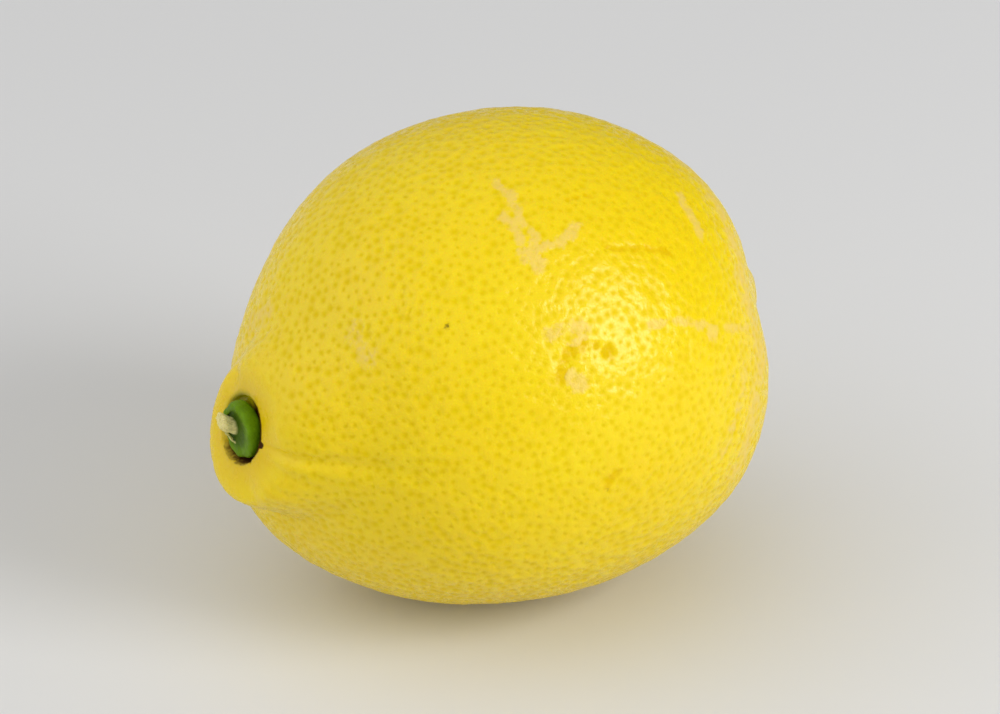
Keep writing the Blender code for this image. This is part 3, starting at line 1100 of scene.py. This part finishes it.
    def wire_marks(self, wires: Wiring, entry: bpy.types.NodeOutputs, skin: Socket) -> Socket:
        """Store how strongly each point of the skin is rubbed, creased and specked; the rub values also carry
        two patches of painted sheen.

        Args:
            wires: The tree in hand.
            entry: Its inputs.
            skin: The skin so far.

        Returns:
            The skin with its marks.
        """
        marks = wires.node("GeometryNodeObjectInfo", {"Object": entry["Marks"]}).outputs["Geometry"]
        place = wires.node("GeometryNodeInputPosition").outputs[0]
        cloud = wires.node("ShaderNodeTexNoise", {"Vector": place, "Scale": self.waver_scale, "Detail": 2.0})
        centred = wires.vector("SUBTRACT", cloud.outputs["Color"], (0.5, 0.5, 0.5))
        swayed = wires.vector("ADD", place, wires.vector("SCALE", centred, scale=entry["Mark Waver"]))
        feeds = {"Geometry": marks, "Sample Position": swayed}
        near = wires.node("GeometryNodeSampleNearest", feeds, domain="POINT").outputs[0]
        middle = self.sample(wires, marks, place, near, "FLOAT_VECTOR")
        gap = wires.vector("DISTANCE", swayed, middle)
        share = wires.math("DIVIDE", gap, self.sample(wires, marks, self.read(wires, "reach"), near))
        cover = wires.ramp(share, 0.2, 1.5, 1.0, 0.0)
        for trait in (Trait.RUB_AND_SHEEN, Trait.CREASE, Trait.SPECK):
            strength = self.sample(wires, marks, self.read(wires, trait.value), near)
            skin = self.store(wires, skin, trait.value, wires.times(cover, strength))
        return skin

    def wire_relief(self, wires: Wiring, entry: bpy.types.NodeOutputs, skin: Socket) -> Socket:
        """Sink the pores and creases, and ripple the skin between them.

        Args:
            wires: The tree in hand.
            entry: Its inputs.
            skin: The skin so far.

        Returns:
            The skin in relief.
        """
        place = wires.node("GeometryNodeInputPosition").outputs[0]
        normal = wires.node("GeometryNodeInputNormal").outputs[0]
        scale = wires.math("DIVIDE", 1.0, entry["Ripple Size"])
        feeds = {"Vector": place, "Scale": scale, "Detail": 1.0}
        cloud = wires.node("ShaderNodeTexNoise", feeds).outputs["Fac"]
        ripple = wires.times(wires.math("SUBTRACT", cloud, 0.5), entry["Ripple Height"])
        ripple = wires.times(ripple, self.read(wires, Trait.PORED.value))
        pit = wires.times(wires.ramp(self.read(wires, Trait.PORE.value), 0.0, 1.0), entry["Pore Depth"])
        groove = wires.times(self.read(wires, Trait.CREASE.value), entry["Crease Depth"])
        rise = wires.math("SUBTRACT", ripple, wires.sum(pit, groove))
        move = wires.vector("SCALE", normal, scale=rise)
        return wires.node("GeometryNodeSetPosition", {"Geometry": skin, "Offset": move}).outputs[0]

    def apply(self, item: bpy.types.Object, marks: bpy.types.Object, peel: bpy.types.Material) -> None:
        """Work the tree on a bare skin and keep the result as its plain mesh.

        Args:
            item: The bare skin.
            marks: The points of its marks, which are used up.
            peel: Its material.
        """
        settings = self.settings(marks, peel)
        values = {label: value for label, _, value in settings}
        modifier = item.modifiers.new("skin_detail", "NODES")
        modifier.node_group = self.build_tree(settings)
        for socket in modifier.node_group.interface.items_tree:
            if socket.in_out == "INPUT" and socket.name in values:
                modifier[socket.identifier] = values[socket.name]
        graph = bpy.context.evaluated_depsgraph_get()
        graph.update()
        data = bpy.data.meshes.new_from_object(item.evaluated_get(graph), depsgraph=graph)
        item.modifiers.remove(modifier)
        item.data = data
        data.shade_smooth()
        bpy.data.objects.remove(marks)


@dataclass
class Fruit:
    """The whole fruit: a fine skin over the body, collar, bowl and nipple."""

    form: LemonForm = field(default_factory=LemonForm)
    finish: PeelFinish = field(default_factory=PeelFinish)
    detail: SkinDetail = field(default_factory=SkinDetail)
    spacing: float = 0.425 * MM
    poreless_height: float = 0.4 * MM
    least_sides: int = 8

    def build(self, effects: SharedEffects) -> bpy.types.Object:
        """Mesh the skin, give it its pores and marks, and dress it.

        Args:
            effects: The shared shader effects.

        Returns:
            The fruit's object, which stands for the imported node.
        """
        item = self.mesh_skin()
        self.detail.apply(item, Blemishes(self.form).build(), self.finish.material(effects))
        hold_in_box(item, Node.FRUIT)
        return item

    def stations(self) -> np.ndarray:
        """Space the rings evenly along the skin, from the stem end to the blossom end.

        Returns:
            The polar angle of each ring.
        """
        polar = np.linspace(0.0, math.pi, 4000)
        meridian = self.form.skin(polar, np.full_like(polar, math.pi / 2.0))
        length = np.concatenate([[0.0], np.cumsum(np.linalg.norm(np.diff(meridian, axis=0), axis=1))])
        rows = round(length[-1] / (self.spacing * math.sqrt(3.0) / 2.0))
        return np.interp(np.linspace(0.0, length[-1], rows + 1)[1:-1], length, polar)

    def mesh_skin(self) -> bpy.types.Object:
        """Cover the form with rings of nearly even triangles.

        Returns:
            The bare skin, with where it has pores, where it is husky and where its lip is stored on it.
        """
        surface = RingMesh()
        polars = []
        for row, station in enumerate(self.stations()):
            radius = float(self.form.radius(np.array([station]))[0])
            count = max(self.least_sides, round(TURN * radius / self.spacing))
            phase = 0.5 * (row % 2)
            angles = TURN * (np.arange(count) + phase) / count
            surface.add_ring(self.form.skin(np.full(count, station), angles), phase)
            polars.append(np.full(count, station))
        ends = self.form.skin(np.array([0.0, math.pi]), np.zeros(2))
        item = join_shells("lemon_fruit", [surface.close(ends[0], ends[1])])
        self.press_flat(item)
        self.sort_skin(item, np.concatenate([*polars, [0.0, math.pi]]))
        return item

    def press_flat(self, item: bpy.types.Object) -> None:
        """Press the lowest skin onto the surface that the fruit lies on."""
        points = mesh_points(item)
        points[:, 2] = np.maximum(points[:, 2], 0.0)
        item.data.vertices.foreach_set("co", points.astype(np.float32).ravel())

    def sort_skin(self, item: bpy.types.Object, polars: np.ndarray) -> None:
        """Store which kind of skin each point has.

        Args:
            item: The bare skin.
            polars: The polar angle of each of its points.
        """
        radii = self.form.radius(polars)
        lip = self.form.bowl_lip_radius
        tip = self.form.scar_radius
        stem_half = polars < math.pi / 2.0
        by_tip = smooth_step(radii, 0.8 * tip, 2.2 * tip)
        pored = np.where(stem_half, smooth_step(radii, lip, 3.0 * lip), by_tip)
        pored *= smooth_step(mesh_points(item)[:, 2], 0.02 * MM, self.poreless_height)
        husk = np.where(stem_half, 0.0, smooth_step(radii, tip, 0.5 * tip))
        rim = np.where(stem_half, 0.0, smooth_step(radii, 3.0 * tip, tip))
        keep_values(item, Trait.PORED.value, pored)
        keep_values(item, Trait.HUSK.value, husk)
        keep_values(item, Trait.LIP.value, rim)


@dataclass(frozen=True)
class Strand:
    """A loose fibre of the stub.

    Its places are heights over the seat, then Y and Z off the axis, in millimetres.
    """

    places: tuple[Triple, ...]
    radius: float = 0.24 * MM


@dataclass
class StemButton:
    """The green calyx in the bowl, with the stub of the cut stem in its hollow."""

    form: LemonForm = field(default_factory=LemonForm)
    finish: CalyxFinish = field(default_factory=CalyxFinish)
    gap: float = 0.3 * MM
    radius: float = 3.58 * MM
    thickness: float = 2.0 * MM
    lobes: int = 5
    lobe_depth: float = 0.1 * MM
    hollow: float = 1.65 * MM
    hollow_rim: float = 2.75 * MM
    stub_radius: float = 1.1 * MM
    stub_foot: float = 1.3 * MM
    stub_height: float = 1.8 * MM
    stub_lean: Triple = (0.0, 0.15, 0.6)
    stub_offset: Triple = (0.0, 1.2 * MM, 0.05 * MM)
    fold_size: float = 1.0 * MM
    fold_depth: float = 0.22 * MM
    shred_size: float = 0.55 * MM
    shred_depth: float = 0.17 * MM
    sides: int = 144
    step: float = 0.11 * MM
    fibre_sides: int = 10
    fibre_step: float = 0.08 * MM
    fibre_roughness: float = 0.3 * MM
    strands: tuple[Strand, ...] = (
        Strand(
            ((2.0, 2.0, -0.5), (2.35, 1.9, -0.9), (2.2, 1.4, -1.35), (2.05, 0.9, -1.75), (1.7, 0.5, -2.0))
        ),
        Strand(((2.2, 1.9, -0.3), (2.45, 1.9, -0.8), (2.1, 1.5, -1.4), (1.7, 1.3, -1.8)), 0.17 * MM),
    )

    def profile(self) -> np.ndarray:
        """Draw the button's outline, from the middle of the underside to the stub's top.

        Returns:
            The radius and the height over the seat of each point.
        """
        r, t, s, h = self.radius, self.thickness, self.stub_radius, self.stub_height
        corners = (
            (0.0, 0.0),
            (0.60 * r, 0.0),
            (0.86 * r, 0.02 * t),
            (0.97 * r, 0.2 * t),
            (r, 0.5 * t),
            (0.98 * r, 0.82 * t),
            (0.91 * r, 0.97 * t),
            (self.hollow_rim, t),
            (self.stub_foot + 0.1 * MM, self.hollow),
            (1.05 * s, self.hollow + 0.1 * MM),
            (s, self.hollow + 0.4 * h),
            (1.1 * s, self.hollow + 0.8 * h),
            (0.85 * s, self.hollow + h),
            (0.4 * s, self.hollow + 0.97 * h),
            (0.0, self.hollow + 0.95 * h),
        )
        line = smooth_line(np.array(corners), self.step)
        line[:, 0] = np.maximum(line[:, 0], 0.0)
        return line

    def build(self, effects: SharedEffects) -> bpy.types.Object:
        """Turn the profile, shape its lobes, folds and torn fibres, and dress it.

        Args:
            effects: The shared shader effects.

        Returns:
            The button's object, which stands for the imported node.
        """
        line = self.profile()
        angles = TURN * np.arange(self.sides) / self.sides
        surface = RingMesh()
        for radius, height in line[1:-1]:
            surface.add_ring(self.ring(radius, height, angles))
        first = self.ring(0.0, float(line[0, 1]), np.zeros(1))[0]
        last = self.ring(0.0, float(line[-1, 1]), np.zeros(1))[0]
        strands = [self.fibre(strand) for strand in self.strands]
        item = join_shells("lemon_stem_button", [surface.close(first, last).turned(), *strands])
        radii = np.append(np.repeat(line[1:-1, 0], self.sides), line[[0, -1], 0])
        heights = np.append(np.repeat(line[1:-1, 1], self.sides), line[[0, -1], 1])
        above = smooth_step(heights, 0.4 * self.hollow, 0.6 * self.hollow)
        near_stub = smooth_step(radii, 1.3 * self.stub_foot, self.stub_foot) * above
        # Painted shade: where the hollow round the stub is darkened.
        hollow_shade = smooth_step(radii, self.hollow_rim, 0.7 * self.hollow_rim) * above
        stub = near_stub * smooth_step(heights, self.hollow, self.hollow + 0.2 * self.stub_height)
        loose = np.ones(sum(len(strand.points) for strand in strands))
        keep_values(item, Trait.STUB.value, np.append(stub, 0.7 * loose))
        keep_values(item, Trait.HOLLOW_SHADE.value, np.append(hollow_shade * (1.0 - stub), 0.0 * loose))
        item.data.materials.append(self.finish.material(effects))
        hold_in_box(item, Node.BUTTON)
        return item

    def seat(self) -> np.ndarray:
        """The middle of the button's underside, where it lies in the model."""
        depth = self.form.half_length + self.form.bowl_floor_rise + self.gap
        return np.array(self.form.centre) + np.array(self.form.bowl_offset) - np.array((depth, 0.0, 0.0))

    def fibre(self, strand: Strand) -> Shell:
        """Sweep one loose fibre, thinner towards its end.

        Args:
            strand: The fibre.

        Returns:
            Its surface.
        """
        corners = np.array(strand.places) * MM * np.array((-1.0, 1.0, 1.0))
        line = smooth_line(corners, self.fibre_step) + self.seat()
        along = np.linspace(0.0, 1.0, len(line))
        rough = 0.85 + 0.3 * wobble(line, self.fibre_roughness, FIBRE_SEED)[:, 0]
        return tube(line, strand.radius * (1.0 - 0.4 * along) * rough, self.fibre_sides)

    def ring(self, radius: float, height: float, angles: np.ndarray) -> np.ndarray:
        """One ring of the button, where it lies in the model.

        Args:
            radius: The plain profile's distance from the axis.
            height: Its height over the seat.
            angles: The ring's angles round the axis.

        Returns:
            The ring's points.
        """
        across = np.stack([np.zeros_like(angles), np.cos(angles), np.sin(angles)], axis=-1)
        on_stub = float(smooth_step(np.array(height), self.thickness, 1.4 * self.thickness))
        lobed = float(smooth_step(np.array(radius), self.stub_radius, self.radius))
        inward = min(1.0, radius / self.stub_radius)
        along = across * 3.0 * MM + np.array([0.3 * height, 0.0, 0.0])
        folds = wobble(along, self.fold_size, FOLD_SEED)[:, 0] * (1.0 - on_stub)
        shreds = wobble(along, self.shred_size, SHRED_SEED)[:, 0] * on_stub
        reach = radius + lobed * self.lobe_depth * np.cos(self.lobes * angles)
        reach += inward * (0.3 * self.fold_depth * folds + self.shred_depth * shreds)
        rise = height + lobed * self.fold_depth * folds + inward * self.shred_depth * shreds
        points = reach[:, None] * across
        points[:, 0] -= rise
        lean = np.array(self.stub_offset) + np.array(self.stub_lean) * max(0.0, height - self.hollow)
        if height > 0.5 * self.hollow:
            points += lean * float(smooth_step(np.array(radius), self.hollow_rim, self.stub_foot))
        return points + self.seat()


@dataclass(frozen=True)
class Softbox:
    """A rectangular light that faces the fruit from one direction."""

    name: str
    direction: Triple
    distance: float
    width: float
    height: float
    power: float

    def hang(self, aim: Vector) -> None:
        """Hang the light, turned towards the place it lights.

        Args:
            aim: The place that it lights.
        """
        data = bpy.data.lights.new(self.name, "AREA")
        data.shape = "RECTANGLE"
        data.size = self.width
        data.size_y = self.height
        data.energy = self.power
        lamp = bpy.data.objects.new(self.name, data)
        bpy.context.scene.collection.objects.link(lamp)
        way = Vector(self.direction).normalized()
        lamp.location = aim + way * self.distance
        lamp.rotation_euler = way.to_track_quat("Z", "Y").to_euler()


@dataclass
class Studio:
    """A pale sweep, soft lights and the camera."""

    aim: Triple = (0.2 * MM, 0.1 * MM, 30.6 * MM)
    azimuth: float = math.radians(-32.0)
    elevation: float = math.radians(29.0)
    distance: float = 0.8
    lens: float = 230.0
    floor_half: float = 1.5
    bright_side: Triple = (-0.80, 0.20, 0.57)
    dim_surround: float = 0.12
    bright_surround: float = 0.84
    dim_facing: float = -0.6
    bright_facing: float = 0.9
    paper: PaperFinish = field(default_factory=PaperFinish)
    lights: tuple[Softbox, ...] = (
        Softbox("key_softbox", (0.440, -0.790, 0.450), 0.65, 0.29, 0.40, 2.7),
        Softbox("back_softbox", (-0.79, 0.31, 0.52), 0.75, 0.70, 0.70, 0.8),
    )

    def build(self) -> None:
        """Lay the floor, hang the lights and set the camera."""
        self.lay_floor()
        for light in self.lights:
            light.hang(Vector(self.aim))
        self.set_world()
        self.set_camera()

    def lay_floor(self) -> None:
        """Lay a wide flat sweep at the height that the fruit rests on."""
        half = self.floor_half
        corners = np.array([(-half, -half, 0.0), (half, -half, 0.0), (half, half, 0.0), (-half, half, 0.0)])
        floor = new_mesh("floor", corners, [(0, 1, 2, 3)])
        floor.data.materials.append(self.paper.material())

    def set_world(self) -> None:
        """Surround everything with soft white, brightest over the stem end."""
        world = bpy.data.worlds.new("studio")
        world.use_nodes = True
        wires = Wiring(world.node_tree)
        direction = wires.node("ShaderNodeTexCoord").outputs["Generated"]
        facing = wires.vector("DOT_PRODUCT", direction, Vector(self.bright_side).normalized())
        limits = (self.dim_facing, self.bright_facing, self.dim_surround, self.bright_surround)
        strength = wires.ramp(facing, *limits)
        background = world.node_tree.nodes["Background"]
        background.inputs["Color"].default_value = (1.0, 1.0, 1.0, 1.0)
        wires.tree.links.new(strength, background.inputs["Strength"])
        bpy.context.scene.world = world

    def towards_camera(self) -> Vector:
        """The direction from the fruit to the camera."""
        flat = math.cos(self.elevation)
        across = Vector((math.sin(self.azimuth), -math.cos(self.azimuth), 0.0)) * flat
        return across + Vector((0.0, 0.0, math.sin(self.elevation)))

    def set_camera(self) -> None:
        """Aim the camera at the middle of the fruit."""
        data = bpy.data.cameras.new("camera")
        data.lens = self.lens
        data.clip_start = 0.05
        camera = bpy.data.objects.new("camera", data)
        bpy.context.scene.collection.objects.link(camera)
        way = self.towards_camera()
        camera.location = Vector(self.aim) + way * self.distance
        camera.rotation_euler = way.to_track_quat("Z", "Y").to_euler()
        bpy.context.scene.camera = camera
        bpy.context.scene.view_settings.view_transform = "Standard"


def main() -> None:
    """Build the studio and the lemon's pieces."""
    logging.basicConfig(level=logging.INFO, format="%(name)s: %(message)s")
    noise.seed_set(NOISE_SEED)
    Studio().build()
    effects = SharedEffects()
    for piece, node, slot in ((Fruit(), Node.FRUIT, Slot.RIND), (StemButton(), Node.BUTTON, Slot.CALYX)):
        item = piece.build(effects)
        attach(item, ROOT)
        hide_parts(node.value)
        log.info("%s: %d triangles, in place of %s", item.name, len(item.data.polygons), node.value)


if __name__ == "__main__":
    main()
